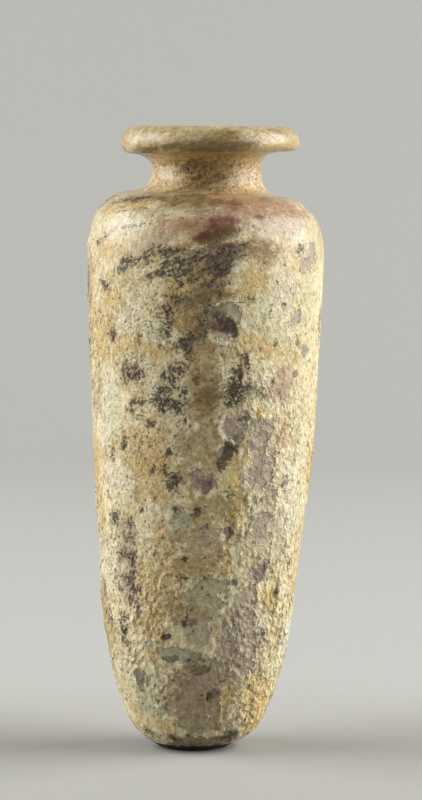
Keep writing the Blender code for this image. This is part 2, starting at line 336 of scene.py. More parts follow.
        (16, 108.0, 10.9, 2.5, -4), (0, 104.1, 3.9, 1.7), (41, 114.0, 6.1, 2.5, -6), (1, 57.1, 2.1, 1.7, -20),
        (-2, 59.3, 1.5, 0.9), (16, 67.9, 3.5, 2.5), (31, 65.7, 3.5, 3.7), (33, 58.2, 3.4, 3.9),
        (36, 48.9, 3.7, 2.7), (37, 39.7, 3.5, 2.0), (27, 27.0, 6.3, 6.9), (13, 20.8, 3.4, 3.1),
        (33, 21.3, 3.9, 2.3), (0, 17.3, 3.6, 6.1), (59, 98.7, 3.3, 2.5), (50, 87.8, 1.8, 1.5),
        (-40, 77.6, 3.1, 2.1), (-47, 41.8, 3.4, 8.3), (8, 45.4, 2.7, 2.6), (9, 99.6, 4.0, 1.7, 24),
        (-27, 102.3, 4.8, 1.3, 10), (42, 75.1, 3.1, 3.1), (53, 43.2, 2.0, 0.5, 45), (-71, 71.8, 2.8, 2.9),
        (45, 105.3, 5.8, 2.4),
    ),
    speckled=(
        (-27, 91.8, 10.8, 10.2), (-19, 76.6, 9.2, 10.4), (-46, 41.8, 7.9, 14.4), (-45, 26.4, 6.8, 8.4),
        (-27, 63.3, 10.8, 7.0), (-12, 98.7, 11.9, 5.0, 12), (-5, 42.5, 4.7, 10.4), (-1, 122.4, 6.2, 3.2),
        (-13, 107.3, 13.0, 1.8),
    ),
    swept=(
        (-16, 98.7, 8.4, 3.0, 14), (9, 99.0, 4.6, 2.9, 24), (7, 93.7, 2.8, 1.9, 20),
        (-32, 98.2, 5.1, 1.7, 12), (3, 103.4, 5.1, 2.0, 20), (-7, 84.1, 3.5, 1.4, 24),
        (-5, 91.8, 3.9, 2.2, 22),
    ),
    smeared=(
        (5, 74.0, 2.3, 4.0), (-48, 129.4, 3.4, 1.6, 6), (-4, 132.0, 5.3, 1.2, 14), (3, 130.0, 7.1, 2.3),
        (-22, 130.9, 4.0, 1.0, 6), (16, 131.4, 4.8, 1.0, 10), (-6, 123.0, 5.1, 1.1), (0, 120.0, 3.5, 2.2, 24),
        (-12, 117.4, 6.3, 2.6, 8), (-8, 114.4, 3.6, 2.2), (0, 111.7, 6.3, 1.9, 2), (27, 101.4, 3.2, 2.0),
        (8, 103.9, 4.2, 1.4, 14), (-38, 111.5, 5.3, 0.8, 12), (0, 87.3, 2.3, 4.4), (-3, 91.8, 3.9, 1.9, 22),
    ),
    umber=(
        (0, 15.3, 4.7, 6.5), (-3, 22.6, 3.6, 2.4), (15, 20.0, 2.7, 2.9), (3, 9.0, 5.2, 2.4),
        (3, 12.6, 3.1, 3.2),
    ),
    rose=(
        (36, 111.4, 10.1, 4.2, -5), (4, 105.3, 6.5, 2.5, 12), (23, 113.6, 5.6, 2.9), (57, 108.3, 4.7, 2.4),
        (-14, 105.2, 4.2, 1.5, 8),
    ),
    violet=(
        (60, 81.3, 1.2, 1.5), (52, 77.3, 1.0, 0.7), (53, 83.2, 0.8, 0.8), (2, 57.1, 1.8, 1.5, -30),
        (16, 47.7, 0.9, 1.2), (20, 65.7, 1.3, 1.1), (36, 39.4, 2.0, 1.4, 35), (-37, 32.8, 0.8, 2.2),
        (12, 16.5, 0.8, 1.3), (-2, 30.3, 1.0, 0.8, 20), (-43, 18.6, 1.1, 2.1, 8), (10, 62.6, 1.1, 1.1),
    ),
    plum=(
        (7, 105.8, 3.8, 1.7, 12), (-1, 104.0, 2.1, 1.1, 14), (10, 87.0, 2.5, 1.7, -20), (29, 107.6, 1.3, 0.6),
        (7, 100.9, 3.3, 1.0, 24), (16, 101.3, 2.0, 0.9, 24), (8, 105.0, 2.7, 1.2, 12),
        (-4, 103.1, 1.6, 0.8, 12),
    ),
    pink=(
        (43, 75.5, 2.8, 4.0), (35, 111.7, 8.5, 3.4, -4), (24, 109.0, 9.4, 2.1), (-3, 105.5, 5.0, 1.7),
        (24, 114.3, 6.9, 3.0), (-11, 15.1, 4.0, 5.6), (45, 65.0, 2.8, 2.5), (33, 73.7, 1.8, 1.5),
    ),
    greyGreen=(
        (10, 87.0, 3.3, 3.0), (25, 74.0, 2.0, 2.2), (4, 33.4, 4.2, 5.5), (-13, 24.2, 3.6, 1.6),
        (0, 23.6, 2.1, 1.6), (40, 45.0, 5.7, 7.4), (11, 37.0, 3.1, 3.1), (33, 53.6, 4.3, 2.8),
        (-34, 14.7, 3.4, 4.2), (18, 72.6, 1.1, 1.3), (7, 10.9, 5.3, 4.1),
    ),
    teal=(
        (61, 81.0, 1.7, 1.3), (57, 82.3, 2.1, 0.6), (51, 76.9, 1.1, 0.5), (-15, 47.3, 1.2, 1.0),
        (-3, 47.3, 0.9, 0.8), (-43, 13.1, 2.2, 1.4), (-32, 15.6, 1.1, 1.0), (-45, 17.7, 0.8, 0.9),
        (-28, 11.9, 1.2, 0.9), (-35, 18.8, 1.1, 0.7), (-10, 50.4, 2.5, 2.3), (33, 5.7, 2.7, 2.0, 14),
        (-23, 5.6, 1.5, 1.4, -20), (-47, 6.7, 2.0, 1.3), (-4, 134.0, 2.3, 1.1, 10), (-13, 23.9, 2.5, 1.6),
        (18, 88.7, 0.8, 0.7),
    ),
    # the wide mark at climb 4.0 by the foot is painted shade where the flask meets the floor; the other marks
    # are dirt
    dirtAndFootShade=(
        (2, 103.4, 3.1, 1.4, 20), (9, 99.4, 4.0, 2.0, 24), (-17, 23.1, 1.6, 1.1), (6, 4.0, 6.8, 1.9),
        (2, 22.0, 1.6, 1.4),
    ),
    calm=(
        (58, 57.1, 8.7, 16.9), (42, 85.8, 8.8, 8.5), (42, 45.8, 5.7, 5.6), (85, 32.8, 2.6, 11.1),
    ),
    rough=(
        (52, 59.0, 7.9, 14.7), (51, 41.8, 8.8, 14.4), (50, 26.1, 8.1, 12.8), (47, 14.4, 8.1, 9.2),
        (27, 25.0, 5.3, 9.2), (-22, 34.7, 5.7, 8.7), (-16, 17.1, 4.2, 6.0), (24, 50.0, 3.3, 9.9),
        (35, 75.5, 3.6, 2.9), (17, 82.3, 2.7, 1.4), (-45, 26.4, 5.1, 7.6), (26, 68.9, 3.5, 4.2),
        (15, 83.5, 2.7, 1.1),
    ),
)

strokes = dict(  # half width in mm, then the points of the line as (turn, climb)
    ridges=(
        (0.42, (20.0, 77.6), (19.0, 75.1), (16.0, 73.3), (11.0, 70.7), (8.0, 67.5), (11.0, 65.4),
         (18.0, 64.0), (20.0, 63.3), (19.0, 61.8)),
        (0.16, (-7.0, 101.1), (0.0, 101.8), (7.0, 103.3), (16.0, 104.5)),
        (0.44, (6.0, 93.4), (4.0, 91.8), (2.0, 90.2), (0.0, 88.4), (0.0, 86.7), (2.0, 85.0),
         (5.0, 83.8), (10.0, 83.5), (14.0, 83.2)),
        (0.12, (-2.0, 14.4), (5.0, 13.8), (12.0, 14.4)),
        (0.12, (-1.0, 13.1), (5.0, 12.4), (12.0, 13.0)),
        (0.12, (0.0, 11.7), (6.0, 11.3), (13.0, 11.7)),
        (0.12, (-46.0, 104.6), (-28.0, 105.9), (-10.0, 107.4), (5.0, 108.5)),
        (0.1, (-29.0, 107.2), (-9.0, 109.0), (13.0, 110.0)),
        (0.14, (21.0, 61.1), (23.0, 57.9), (22.0, 54.0), (20.0, 50.0)),
    ),
    cracks=(
        (0.07, (15.0, 91.1), (20.0, 91.1), (25.0, 91.1)),
        (0.3, (17.0, 68.9), (21.0, 69.3), (25.0, 69.3)),
        (0.1, (-22.0, 97.7), (-7.0, 99.4), (7.0, 101.3), (19.0, 102.3)),
        (0.1, (-17.0, 95.9), (-3.0, 97.7), (12.0, 99.6)),
        (0.09, (-60.0, 107.1), (-38.0, 108.9), (-15.0, 110.3)),
    ),
)

scatter = dict(  # the same finishes at random round the back, where nothing is known
    flaked=(26, 1.5, 5.0), pitted=(60, 1.5, 5.0), tan=(26, 3.0, 8.0), chalkAndHighlight=(16, 2.0, 6.0),
    mint=(10, 2.0, 6.0), yellow=(12, 2.0, 5.0), lilac=(16, 2.5, 7.0), greyGreen=(10, 2.5, 6.0),
    teal=(7, 1.0, 3.5), violet=(6, 1.0, 3.0), rough=(12, 5.0, 14.0), olive=(8, 4.0, 10.0), pink=(6, 2.0, 5.0),
)
dice = random.Random(41)


def scattered(kind):
    number, small, large = scatter.get(kind, (0, 1, 1))
    made = []
    for _ in range(number):
        wide = dice.uniform(small, large)
        turn, climb = dice.uniform(80, 280), dice.uniform(3, 112)
        made.append((turn, climb, wide, wide * dice.uniform(0.6, 1.6), dice.uniform(-40, 40)))
    return made


def wander(reach):
    # sideways and upward swings at each point, waves of so many mm, so that no mark keeps a plain oval edge
    swings = [smoothNoise.turbulence_vector(Vector(p) / reach, 4, False) for p in points]
    return np.array(swings)[:, (0, 2)]


smoothNoise.seed_set(7)  # otherwise the clock sets it
swing = wander(reach=5.0)


def inwardOf(mark, free):
    # distance in from a mark's edge in mm, below zero outside it; free is how far its edge may wander
    turn, climb, wide, tall = mark[:4]
    lean = math.radians(sum(mark[4:]))
    loose = min(3.5, min(wide, tall)) * free
    across = np.radians((turnOf - turn + 180) % 360 - 180) * radiusOf + swing[:, 0] * loose
    up = climbOf - climb + swing[:, 1] * loose
    c, s = math.cos(lean), math.sin(lean)
    x, y = across * c + up * s, up * c - across * s
    near = np.sqrt((x / wide) ** 2 + (y / tall) ** 2) + 1e-6
    steep = np.sqrt((x / wide**2) ** 2 + (y / tall**2) ** 2) + 1e-6
    return near * (1 - near) / steep


def field(kind, soft=0.0, free=0.6):
    # soft 0 keeps distances; otherwise a weight that fades over that share of the mark's smaller half
    most = np.full(len(points), -6.0 if soft == 0 else 0.0)
    for mark in tuple(marks.get(kind, ())) + tuple(scattered(kind)):
        inward = inwardOf(mark, free)
        if soft:
            fade = max(0.5, soft * min(mark[2], mark[3]))
            inward = np.clip(0.5 + inward / (2 * fade), 0, 1)
        most = np.maximum(most, inward)
    most[insideOf > 0.5] = most.min()
    return most


def strokeField(kind):
    # distance in from the edge of drawn lines in mm, for points within a few mm of them
    most = np.full(len(points), -6.0)
    for half, *line in strokes[kind]:
        for (turnA, climbA), (turnB, climbB) in zip(line, line[1:]):
            turnMid = 0.5 * (turnA + turnB)
            across = np.radians((turnOf - turnMid + 180) % 360 - 180) * radiusOf
            halfRun = math.radians(turnB - turnA) / 2 * radiusOf
            rise = climbB - climbA
            along = (across + halfRun) * 2 * halfRun + (climbOf - climbA) * rise
            along = np.clip(along / (4 * halfRun**2 + rise**2 + 1e-9), 0, 1)
            gap = np.hypot(across + halfRun - along * 2 * halfRun, climbOf - climbA - along * rise)
            most = np.maximum(most, half - gap)
    most[insideOf > 0.5] = -6.0
    return most


def band(middle, half, peak=1.0):
    # a weight that is highest at a climb in mm and falls to 0 on both sides
    return np.clip(peak - np.abs(climbOf - middle) / half, 0, 1) * (1 - insideOf)


def reached(start, full):
    # 0 at the starting climb, 1 from the full one on
    return np.clip((climbOf - start) / (full - start), 0, 1) * (1 - insideOf)


fields = dict(
    flaked=field("flaked", 0.0, 0.3), spots=field("spots", 0.0, 0.0), pitted=field("pitted", 0.9, 0.5),
    swept=field("swept", 0.4), speckled=field("speckled", 0.5),
)
for kind in ("tan", "olive", "chalkAndHighlight", "mint", "yellow", "lilac", "plum", "violet", "pink", "greyGreen", "teal",
             "dirtAndFootShade", "rough"):
    fields[kind] = field(kind, 0.6)
fields["rough"] *= 1 - 0.6 * field("calm", 1.0)
fields["rose"] = field("rose", 1.2)
fields["smeared"] = field("smeared", 1.3)
fields["umber"] = field("umber", 0.9)
fields["ridges"] = strokeField("ridges")
fields["cracks"] = strokeField("cracks")
fields["streaked"] = band(112.5, 7.0)
fields["collar"] = band(121.5, 5.5, 1.3)
fields["lipped"] = reached(124.0, 127.0)
# the last few mm of the foot, where painted shade and dark glass go
fields["underside"] = reached(3.4, 1.0)
fields["satin"] = reached(92.0, 104.0)
fields["within"] = insideOf
print("finishes placed:", sum(len(m) for m in marks.values()), "marks")


# Node helpers, the same for geometry and for shading.

def node(tree, kind, **settings):
    made = tree.nodes.new(kind)
    for name, value in settings.items():
        setattr(made, name, value)
    return made


def feed(tree, socket, value):
    if isinstance(value, bpy.types.NodeSocket):
        tree.links.new(value, socket)
    else:
        socket.default_value = value


def calc(tree, operation, *values, clamp=False):
    made = node(tree, "ShaderNodeMath", operation=operation, use_clamp=clamp)
    for socket, value in zip(made.inputs, values):
        feed(tree, socket, value)
    return made.outputs[0]


def times(tree, a, b):
    return calc(tree, "MULTIPLY", a, b)


def plus(tree, a, b):
    return calc(tree, "ADD", a, b)


def minus(tree, a, b):
    return calc(tree, "SUBTRACT", a, b)


def larger(tree, a, b):
    return calc(tree, "MAXIMUM", a, b)


def ease(tree, value, low, high, start=0.0, end=1.0):
    made = node(tree, "ShaderNodeMapRange", interpolation_type="SMOOTHSTEP")
    names = ("Value", "From Min", "From Max", "To Min", "To Max")
    for name, given in zip(names, (value, low, high, start, end)):
        feed(tree, made.inputs[name], given)
    return made.outputs["Result"]


def blendValue(tree, share, start, end):
    made = node(tree, "ShaderNodeMix", data_type="FLOAT")
    for socket, given in zip(made.inputs[:1] + made.inputs[2:4], (share, start, end)):
        feed(tree, socket, given)
    return made.outputs[0]


textures = dict(  # wavelength in mm, detail, roughness, and where needed shift, stretch and lean
    crumb=(3.0, 4.0, 0.68),
    grit=(0.6, 2.5, 0.70, 0.31),
    hatch=(0.9, 2.5, 0.66, 0.37, (0.32, 0.6, 1.6), 20.0),
    patchy=(5.0, 3.5, 0.62, 0.17),
    grain=(1.0, 2.5, 0.66, 0.53),
    coarse=(2.4, 3.5, 0.62, 0.71),
    swell=(11.0, 1.0, 0.5, 0.9),
    medium=(3.6, 4.2, 0.74, 1.3),
    broad=(8.0, 5.0, 0.66, 2.1),
    small=(1.9, 3.3, 0.72, 5.7),
    fine=(0.6, 1.6, 0.6, 3.3),
    streak=(2.4, 5.0, 0.62, 6.1, (0.22, 0.22, 2.0), 4.0),
    wiped=(1.5, 4.0, 0.66, 7.3, (0.34, 0.6, 1.5), 22.0),
    gritty=(0.55, 1.5, 0.6, 4.1),
)


def noise(tree, place, name):
    size, detail, rough, *more = textures[name]
    shift, stretch, lean = more + [0.0, None, None][len(more):]
    if lean is not None:
        turned = node(tree, "ShaderNodeVectorRotate", rotation_type="Y_AXIS")
        feed(tree, turned.inputs["Vector"], place)
        turned.inputs["Angle"].default_value = math.radians(lean)
        place = turned.outputs[0]
    if stretch or shift:
        mapping = node(tree, "ShaderNodeVectorMath", operation="MULTIPLY_ADD")
        feed(tree, mapping.inputs[0], place)
        mapping.inputs[1].default_value = stretch or (1, 1, 1)
        mapping.inputs[2].default_value = (shift, shift * 0.7, -shift)
        place = mapping.outputs[0]
    made = node(tree, "ShaderNodeTexNoise", noise_dimensions="3D")
    feed(tree, made.inputs["Vector"], place)
    made.inputs["Scale"].default_value = 1000.0 / size
    made.inputs["Detail"].default_value = detail
    made.inputs["Roughness"].default_value = rough
    return made.outputs[0]


def grains(tree, place, size, shift=0.0):
    # rounded grains: 0 between them, about 1 on their tops
    moved = node(tree, "ShaderNodeVectorMath", operation="ADD")
    feed(tree, moved.inputs[0], place)
    moved.inputs[1].default_value = (shift, -shift, shift)
    made = node(tree, "ShaderNodeTexVoronoi", feature="F1", voronoi_dimensions="3D")
    feed(tree, made.inputs["Vector"], moved.outputs[0])
    made.inputs["Scale"].default_value = 1000.0 / size
    return ease(tree, made.outputs["Distance"], 0.75, 0.1)


def around(tree, value, reach):
    # a noise value turned into a swing of so much either way
    return times(tree, times(tree, minus(tree, value, 0.5), 2.0), reach)


wear = dict(
    flakeWobble=2.6,  # mm that a flake's edge wanders
    flakeEdge=0.1,  # mm over which the crust gives way
    rimWide=0.5,  # mm of pale rim outside it
    rimHigh=0.12,
    ridgeHigh=0.17,
    crustThick=0.11,  # mm that the crust stands above the bare ground
    pitSoft=0.03,
    pitsEverywhere=0.69,  # level of the noise above which there are pits
    pitsOnMarks=0.462,  # the same on a pitted mark
    pitsSpeckled=0.072,  # how much lower it is on speckled ground
    pitsPatchy=0.13,  # how much broad patches move it either way
    pitsFewer=0.05,  # how much higher it is on rough and on satin ground
    pitDepth=0.15,  # mm
    grainSize=1.25,  # mm
    clumpHigh=(0.02, 0.26),  # mm, on calm and on rough ground
    bumpHigh=(0.045, 0.13),
    swellHigh=0.10,
    shellHigh=0.13,  # mm, steps where a later skin of crust ends
    shellCalm=0.35,  # share of that on calm ground
    bareKeeps=(0.4, 0.9),  # share of the heights left where the crust is gone, on calm and on rough ground
    satinKeeps=0.35,  # and on satin ground
    gritHigh=(0.07, 0.10),  # mm, as bump only, on calm and on rough ground
    crumbHigh=(0.02, 0.16),
    bumpGain=1.25,
    sunk=0.20,  # mm that the whole crust lies below the turned form
    insideShare=0.25,  # of that depth on the inside
)


def weathering(tree, place, f):
    # masks and heights of the crust: f gives each field's socket, heights are in mm below the crust's top
    w = wear
    crumb = noise(tree, place, "crumb")
    edge = plus(tree, f["flaked"], around(tree, crumb, w["flakeWobble"]))
    away = ease(tree, edge, -w["flakeEdge"], w["flakeEdge"])
    rim = times(tree, ease(tree, edge, -w["rimWide"], -0.12), minus(tree, 1.0, away))
    grit, hatch, patchy = (noise(tree, place, name) for name in ("grit", "hatch", "patchy"))
    drawn = plus(tree, times(tree, grit, 0.5), times(tree, hatch, 0.5))
    drawn = plus(tree, 0.5, times(tree, minus(tree, drawn, 0.5), 1.35))
    mixed = blendValue(tree, ease(tree, f["swept"], 0.2, 0.7), grit, drawn)
    onMark = ease(tree, plus(tree, f["pitted"], around(tree, patchy, 0.6)), 0.15, 0.95)
    level = blendValue(tree, onMark, w["pitsEverywhere"], w["pitsOnMarks"])
    speckled = times(tree, times(tree, f["speckled"], w["pitsSpeckled"]), minus(tree, 1.0, onMark))
    level = minus(tree, level, speckled)
    level = plus(tree, level, around(tree, patchy, -w["pitsPatchy"]))
    for ground in ("rough", "satin"):
        level = plus(tree, level, times(tree, f[ground], w["pitsFewer"]))
    pits = ease(tree, minus(tree, mixed, level), -w["pitSoft"], w["pitSoft"])
    spots = ease(tree, plus(tree, f["spots"], around(tree, grit, 0.9)), -0.12, 0.12)
    dark = larger(tree, pits, spots)
    above = minus(tree, mixed, plus(tree, level, blendValue(tree, onMark, 0.045, 0.0)))
    deep = larger(tree, ease(tree, above, 0.0, 0.10), spots)
    ragged = plus(tree, around(tree, crumb, 0.5), around(tree, grit, 0.6))
    ridge = ease(tree, plus(tree, f["ridges"], ragged), -0.12, 0.10)
    crack = ease(tree, plus(tree, f["cracks"], around(tree, crumb, 0.3)), -0.10, 0.10)
    grain, coarse, swell = (noise(tree, place, name) for name in ("grain", "coarse", "swell"))
    clumps = times(tree, grains(tree, place, w["grainSize"]), ease(tree, coarse, 0.40, 0.56))
    clumps = times(tree, clumps, blendValue(tree, f["rough"], *w["clumpHigh"]))
    shells = ease(tree, crumb, 0.485, 0.505)
    shells = plus(tree, shells, ease(tree, patchy, 0.535, 0.550))
    shells = times(tree, shells, blendValue(tree, f["rough"], w["shellCalm"] * w["shellHigh"], w["shellHigh"]))
    bumpy = blendValue(tree, f["rough"], *w["bumpHigh"])
    height = plus(tree, around(tree, grain, bumpy), around(tree, coarse, bumpy))
    height = plus(tree, height, plus(tree, clumps, shells))
    height = times(tree, height, blendValue(tree, away, 1.0, blendValue(tree, f["rough"], *w["bareKeeps"])))
    height = times(tree, height, blendValue(tree, f["satin"], 1.0, w["satinKeeps"]))
    height = plus(tree, height, around(tree, swell, w["swellHigh"]))
    raised = larger(tree, times(tree, rim, w["rimHigh"]), times(tree, ridge, w["ridgeHigh"]))
    height = plus(tree, height, raised)
    height = plus(tree, height, times(tree, away, -w["crustThick"]))
    height = plus(tree, height, times(tree, larger(tree, dark, crack), -w["pitDepth"]))
    return dict(away=away, rim=rim, ridge=ridge, crack=crack, dark=dark, grain=grain, coarse=coarse,
                patchy=patchy, grit=grit, shells=shells, onMark=onMark, deep=deep, height=height)


def reliefTree():
    # sets the crust's relief over the turned form
    tree = bpy.data.node_groups.new("crustRelief", "GeometryNodeTree")
    for name, kind in (("Geometry", "Geometry"), ("Depth", "Float"), ("Sunk", "Float"),
                       ("Inside Depth", "Float"), ("Finish", "Material")):
        tree.interface.new_socket(name, in_out="INPUT", socket_type="NodeSocket" + kind)
    tree.interface.new_socket("Geometry", in_out="OUTPUT", socket_type="NodeSocketGeometry")
    start = node(tree, "NodeGroupInput")
    f = {}
    for name in fields:
        read = node(tree, "GeometryNodeInputNamedAttribute", data_type="FLOAT")
        read.inputs["Name"].default_value = name
        f[name] = read.outputs["Attribute"]
    place = node(tree, "GeometryNodeInputPosition").outputs[0]
    layer = weathering(tree, place, f)
    height = minus(tree, layer["height"], start.outputs["Sunk"])
    height = times(tree, height, blendValue(tree, f["within"], 1.0, start.outputs["Inside Depth"]))
    height = times(tree, height, start.outputs["Depth"])
    push = node(tree, "ShaderNodeVectorMath", operation="SCALE")
    feed(tree, push.inputs[0], node(tree, "GeometryNodeInputNormal").outputs[0])
    feed(tree, push.inputs["Scale"], height)
    move = node(tree, "GeometryNodeSetPosition")
    feed(tree, move.inputs["Geometry"], start.outputs["Geometry"])
    feed(tree, move.inputs["Offset"], push.outputs[0])
    real = node(tree, "GeometryNodeRealizeInstances")
    feed(tree, real.inputs[0], move.outputs[0])
    finish = node(tree, "GeometryNodeSetMaterial")
    feed(tree, finish.inputs["Geometry"], real.outputs[0])
    feed(tree, finish.inputs["Material"], start.outputs["Finish"])
    feed(tree, node(tree, "NodeGroupOutput").inputs[0], finish.outputs[0])
    return tree


def paint(red, green, blue):
    # a colour as it looks on a screen, 0 to 255, in the shader's own scale
    linear = [((c / 255 + 0.055) / 1.055) ** 2.4 if c > 10 else c / 255 / 12.92 for c in (red, green, blue)]
    return (*linear, 1.0)


def over(tree, share, under, top):
    made = node(tree, "ShaderNodeMix", data_type="RGBA", blend_type="MIX")
    for socket, given in ((made.inputs[0], share), (made.inputs[6], under), (made.inputs[7], top)):
        feed(tree, socket, given)
    return made.outputs[2]


colours = dict(
    cream=paint(216, 204, 164),
    buff=paint(186, 167, 114),
    tan=paint(197, 167, 110),
    rust=paint(146, 92, 36),
    # pale chalky crust, also used for painted highlights on the lip, neck and shoulders
    chalkAndHighlight=paint(208, 203, 178),
    mint=paint(196, 194, 154),
    yellow=paint(198, 172, 94),
    olive=paint(136, 114, 62),
    lilac=paint(162, 145, 126),
    plum=paint(92, 40, 48),
    violet=paint(104, 84, 82),
    rose=paint(160, 120, 94),
    umber=paint(148, 132, 104),
    plumPit=paint(60, 34, 36),
    pink=paint(184, 150, 118),
    greyGreen=paint(168, 160, 126),
    teal=paint(152, 160, 134),
    # dark brown for dirt, also used for painted shade by the foot
    dirtAndFootShade=paint(84, 68, 38),
    smear=paint(92, 70, 30),
    pit=paint(56, 44, 30),
    pitViolet=paint(64, 46, 44),
    pitGrey=paint(120, 104, 78),
    rim=paint(222, 212, 178),
    # nearly black: painted shade at the foot where it meets the floor, mixed with the foot's dark glass
    darkGlassAndShade=paint(40, 42, 28),
    inside=paint(112, 92, 62),
)
sheen = dict(crust=0.78, bare=0.55, satin=0.32, swing=0.16)  # roughness of each ground
tintEdge = (0.40, 0.66)  # where a colour starts and is full, unless its own line says otherwise


def weatheredGlass():
    material = bpy.data.materials.new("weatheredGlass")
    material.use_nodes = True
    tree = material.node_tree
    tree.nodes.clear()
    shader = node(tree, "ShaderNodeBsdfPrincipled")
    feed(tree, node(tree, "ShaderNodeOutputMaterial").inputs["Surface"], shader.outputs[0])
    place = node(tree, "ShaderNodeAttribute", attribute_name="unworn").outputs["Vector"]
    f = {name: node(tree, "ShaderNodeAttribute", attribute_name=name).outputs["Fac"] for name in fields}
    layer = weathering(tree, place, f)
    names = ("medium", "broad", "small", "fine", "streak", "wiped", "gritty")
    medium, broad, small, fine, streak, wiped, gritty = (noise(tree, place, name) for name in names)

    loosely = blendValue(tree, f["satin"], 1.5, 0.9)
    softer = blendValue(tree, f["satin"], 0.0, 0.22)

    def lay(name, strength, under, mask):
        return over(tree, times(tree, mask, strength), under, colours[name])

    def tint(name, strength, under, texture, low=tintEdge[0], high=tintEdge[1]):
        # a colour on its own marks, with edges broken by a texture
        spread = plus(tree, f[name], around(tree, texture, loosely))
        low, high = minus(tree, low, softer), plus(tree, high, softer)
        return lay(name, strength, under, ease(tree, spread, low, high))

    def mottle(name, strength, under, texture, low, high):
        # a colour wherever a texture is high
        low, high = minus(tree, low, times(tree, softer, 0.3)), plus(tree, high, times(tree, softer, 0.3))
        return lay(name, strength, under, ease(tree, texture, low, high))

    crust = over(tree, ease(tree, broad, 0.35, 0.55), colours["buff"], colours["cream"])
    crust = mottle("cream", blendValue(tree, f["satin"], 0.6, 0.3), crust, small, 0.48, 0.62)
    crust = mottle("tan", 0.66, crust, medium, 0.52, 0.64)
    crust = mottle("chalkAndHighlight", 0.5, crust, layer["patchy"], 0.54, 0.66)
    crust = mottle("olive", blendValue(tree, f["rough"], 0.55, 0.28), crust, layer["coarse"], 0.54, 0.68)
    crust = lay("cream", 0.35, crust, ease(tree, layer["shells"], 0.01, 0.10))
    for name, strength, texture in (
        ("chalkAndHighlight", 0.6, medium), ("mint", 0.6, small), ("yellow", 0.65, medium), ("tan", 0.72, small),
        ("olive", 0.6, medium), ("pink", 0.62, medium), ("lilac", 0.5, small), ("greyGreen", 0.5, small),
    ):
        crust = tint(name, strength, crust, texture)
    crust = lay("dirtAndFootShade", 0.6, crust, times(tree, f["streaked"], ease(tree, streak, 0.50, 0.62)))
    specks = times(tree, ease(tree, fine, 0.57, 0.68), blendValue(tree, f["rough"], 1.0, 0.45))
    crust = lay("rust", 0.42, crust, specks)
    crust = lay("rim", 0.3, crust, ease(tree, fine, 0.42, 0.32))
    crust = lay("rim", 0.9, crust, larger(tree, layer["rim"], layer["ridge"]))

    bare = over(tree, ease(tree, medium, 0.42, 0.62), colours["greyGreen"], colours["lilac"])
    for name, strength, texture in (
        ("pink", 0.7, medium), ("greyGreen", 0.85, small), ("olive", 0.5, medium), ("yellow", 0.6, medium),
        ("lilac", 0.85, small),
    ):
        bare = tint(name, strength, bare, texture)
    bare = lay("plum", 0.22, bare, ease(tree, layer["grit"], 0.54, 0.66))
    bare = lay("dirtAndFootShade", 0.3, bare, specks)

    crumbs = grains(tree, place, 1.0, 0.4)
    # pale crumb tops on rough ground: partly pale grains, partly a painted highlight where the side light
    # catches the crumbs
    tops = times(tree, ease(tree, crumbs, 0.45, 0.95), ease(tree, layer["coarse"], 0.42, 0.58))
    tops = times(tree, tops, f["rough"])
    colour = over(tree, layer["away"], crust, bare)
    colour = lay("rim", 0.55, colour, tops)
    colour = lay("rim", 0.9, colour, layer["ridge"])
    for name, strength, edge in (
        ("umber", 0.8, (0.2, 0.8)), ("violet", 0.75, tintEdge), ("rose", 0.7, (0.10, 0.95)),
        ("teal", 0.5, tintEdge), ("dirtAndFootShade", 0.7, tintEdge), ("plum", 0.85, (0.30, 0.95)),
    ):
        colour = tint(name, strength, colour, small, *edge)
    colour = lay("rust", 0.32, colour, times(tree, f["satin"], ease(tree, layer["grit"], 0.50, 0.64)))
    colour = lay("tan", 0.62, colour, times(tree, f["collar"], ease(tree, medium, 0.30, 0.70)))
    rusty = times(tree, f["collar"], ease(tree, layer["grit"], 0.48, 0.56))
    rusty = times(tree, rusty, ease(tree, layer["coarse"], 0.38, 0.56, 0.35, 1.0))
    colour = lay("rust", 0.9, colour, rusty)
    colour = lay("tan", 1.0, colour, times(tree, f["lipped"], ease(tree, medium, 0.30, 0.62, 0.15, 0.55)))
    colour = lay("olive", 0.5, colour, times(tree, f["lipped"], ease(tree, layer["patchy"], 0.50, 0.62)))
    colour = lay("rust", 0.3, colour, times(tree, f["lipped"], ease(tree, layer["grit"], 0.53, 0.64)))
    smeared = ease(tree, plus(tree, f["smeared"], around(tree, wiped, 1.3)), 0.15, 0.95)
    colour = lay("smear", 0.7, colour, smeared)
    dark = over(tree, ease(tree, medium, 0.42, 0.60), colours["pit"], colours["pitViolet"])
    dark = over(tree, f["plum"], dark, colours["plumPit"])
    dark = over(tree, ease(tree, layer["deep"], 0.9, 0.1), dark, colours["pitGrey"])
    dark = lay("pitGrey", 0.6, dark, ease(tree, fine, 0.54, 0.64))
    colour = lay("dirtAndFootShade", 0.28, colour, layer["onMark"])
    filled = times(tree, layer["dark"], blendValue(tree, layer["onMark"], 0.75, 0.94))
    colour = over(tree, filled, colour, dark)
    colour = lay("dirtAndFootShade", 0.45, colour, layer["crack"])
    darkest, palest = blendValue(tree, f["satin"], 0.80, 0.84), blendValue(tree, f["satin"], 1.12, 1.08)
    shade = ease(tree, layer["grain"], 0.32, 0.68, darkest, palest)
    # painted shade: the lip's colour is darkened, standing in for less light falling on its upward faces
    shade = times(tree, shade, blendValue(tree, f["lipped"], 1.0, 0.86))
    toned = node(tree, "ShaderNodeVectorMath", operation="SCALE")
    feed(tree, toned.inputs[0], colour)
    feed(tree, toned.inputs["Scale"], shade)
